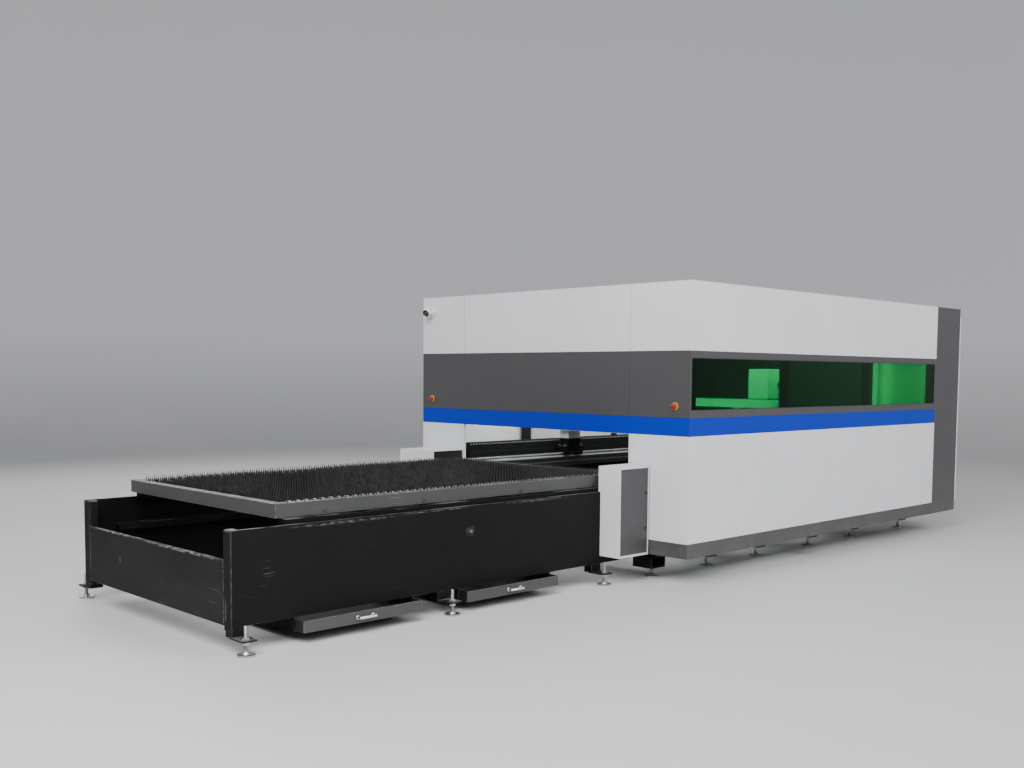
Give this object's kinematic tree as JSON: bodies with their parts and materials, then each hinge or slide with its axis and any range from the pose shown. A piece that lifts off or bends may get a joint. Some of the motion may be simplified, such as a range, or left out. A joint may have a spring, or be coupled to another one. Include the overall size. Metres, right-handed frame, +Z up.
{
  "type": "fiber laser cutting machine",
  "caption": "Enclosed sheet cutting machine with a glazed cabin, a gantry and cutting head inside, and an exchange table with toothed support pallets in front.",
  "frame": {"origin": "on the floor, in the middle of the machine's outline", "axes": "+X from the exchange table into the enclosure, +Y towards the far side with the doors, +Z up"},
  "size_m": [8.104, 2.974, 2.2],
  "materials": {
    "white_panel": "gloss powder coat",
    "grey_panel": "satin powder coat",
    "blue_stripe": "gloss powder coat",
    "machine_paint": "satin paint",
    "black_table": "worn satin paint",
    "pallet_paint": "satin paint",
    "slat_steel": "rolled and laser cut",
    "tray_paint": "satin paint",
    "ground_steel": "ground",
    "chain_plastic": "matt",
    "laser_glass": "gloss green",
    "stop_red": "gloss",
    "stop_yellow": "gloss",
    "camera_white": "satin"
  },
  "bodies": {
    "machine": {"lower_panel_near": "white_panel", "lower_panel_far_front": "white_panel", "lower_panel_far_rear": "white_panel", "header_white": "white_panel", "top_panel_near": "white_panel", "top_panel_far": "white_panel", "roof": "white_panel", "control_box": "white_panel", "gas_box": "white_panel", "rear_cabinet": "white_panel", "window_band_near": "grey_panel", "window_band_far_front": "grey_panel", "window_band_far_rear": "grey_panel", "header_grey": "grey_panel", "plinth_near": "grey_panel", "plinth_far": "grey_panel", "end_band": "grey_panel", "stripe_front": "blue_stripe", "stripe_far_rear": "blue_stripe", "enclosure_frame": "machine_paint", "bed": "machine_paint", "exchange_frame": "black_table", "rail_near": "ground_steel", "rail_far": "ground_steel", "drag_chain": "chain_plastic", "window_near_1": "laser_glass", "window_near_2": "laser_glass", "window_near_3": "laser_glass", "window_far_front": "laser_glass", "window_far_rear": "laser_glass", "stop_collar_near": "stop_yellow", "stop_collar_far": "stop_yellow", "camera_base": "camera_white", "camera_head": "camera_white"},
    "upper_pallet": {"pallet_upper_frame": "pallet_paint", "pallet_upper_slats": "slat_steel"},
    "lower_pallet": {"pallet_lower_frame": "pallet_paint", "pallet_lower_slats": "slat_steel"},
    "gantry": {"gantry_carriage_near": "black_table", "gantry_carriage_far": "black_table", "gantry_beam": "white_panel", "cable_trough": "white_panel"},
    "head_carriage": {"head_carriage": "machine_paint", "head_cover": "white_panel"},
    "cutting_head": {"cutting_head": "ground_steel"},
    "slag_tray_1": {"slag_tray_1": "tray_paint"},
    "slag_tray_2": {"slag_tray_2": "tray_paint"},
    "control_box_door": {"control_box_door": "grey_panel"},
    "gas_box_door": {"gas_box_door": "grey_panel"},
    "cabinet_door_near": {"cabinet_door_near": "white_panel"},
    "cabinet_door_far": {"cabinet_door_far": "white_panel"},
    "side_door_front": {"side_door_front": "white_panel", "side_door_front_pane": "laser_glass", "side_door_front_handle": "white_panel"},
    "side_door_rear": {"side_door_rear": "white_panel", "side_door_rear_pane": "laser_glass", "side_door_rear_handle": "white_panel"},
    "stop_button_near": {"stop_button_near": "stop_red"},
    "stop_button_far": {"stop_button_far": "stop_red"}
  },
  "joints": [
    {"name": "upper_pallet_travel", "type": "slide", "parent": "machine", "child": "upper_pallet", "axis": [1, 0, 0], "range_m": [0, 3.448]},
    {"name": "lower_pallet_travel", "type": "slide", "parent": "machine", "child": "lower_pallet", "axis": [1, 0, 0], "range_m": [-3.448, 0]},
    {"name": "gantry_travel", "type": "slide", "parent": "machine", "child": "gantry", "axis": [1, 0, 0], "range_m": [-1.15, 1.85]},
    {"name": "head_travel", "type": "slide", "parent": "gantry", "child": "head_carriage", "axis": [0, 1, 0], "range_m": [0, 1.78]},
    {"name": "head_focus", "type": "slide", "parent": "head_carriage", "child": "cutting_head", "axis": [0, 0, 1], "range_m": [-0.12, 0]},
    {"name": "slag_tray_1_travel", "type": "slide", "parent": "machine", "child": "slag_tray_1", "axis": [0, -1, 0], "range_m": [0, 0.78]},
    {"name": "slag_tray_2_travel", "type": "slide", "parent": "machine", "child": "slag_tray_2", "axis": [0, -1, 0], "range_m": [0, 0.78]},
    {"name": "control_box_door_hinge", "type": "hinge", "parent": "machine", "child": "control_box_door", "pos_m": [-1.0341, -1.141, 0.53], "axis": [0, 0, -1], "range_deg": [0, 100]},
    {"name": "gas_box_door_hinge", "type": "hinge", "parent": "machine", "child": "gas_box_door", "pos_m": [-1.0341, 1.389, 0.53], "axis": [0, 0, 1], "range_deg": [0, 100]},
    {"name": "cabinet_door_near_hinge", "type": "hinge", "parent": "machine", "child": "cabinet_door_near", "pos_m": [4.027, -0.8, 1.27], "axis": [0, 0, -1], "range_deg": [0, 110]},
    {"name": "cabinet_door_far_hinge", "type": "hinge", "parent": "machine", "child": "cabinet_door_far", "pos_m": [4.027, 0.8, 1.27], "axis": [0, 0, 1], "range_deg": [0, 110]},
    {"name": "side_door_front_hinge", "type": "hinge", "parent": "machine", "child": "side_door_front", "pos_m": [0.6519, 1.445, 1], "axis": [0, 0, 1], "range_deg": [0, 90]},
    {"name": "side_door_rear_hinge", "type": "hinge", "parent": "machine", "child": "side_door_rear", "pos_m": [1.8461, 1.445, 1], "axis": [0, 0, -1], "range_deg": [0, 90]},
    {"name": "stop_button_near_press", "type": "slide", "parent": "machine", "child": "stop_button_near", "axis": [1, 0, 0], "range_m": [0, 0.006], "stiffness_N_per_m": 500},
    {"name": "stop_button_far_press", "type": "slide", "parent": "machine", "child": "stop_button_far", "axis": [1, 0, 0], "range_m": [0, 0.006], "stiffness_N_per_m": 500}
  ],
  "couplings": [
    {"joint": "lower_pallet_travel", "follows": "upper_pallet_travel", "ratio": -1}
  ]
}
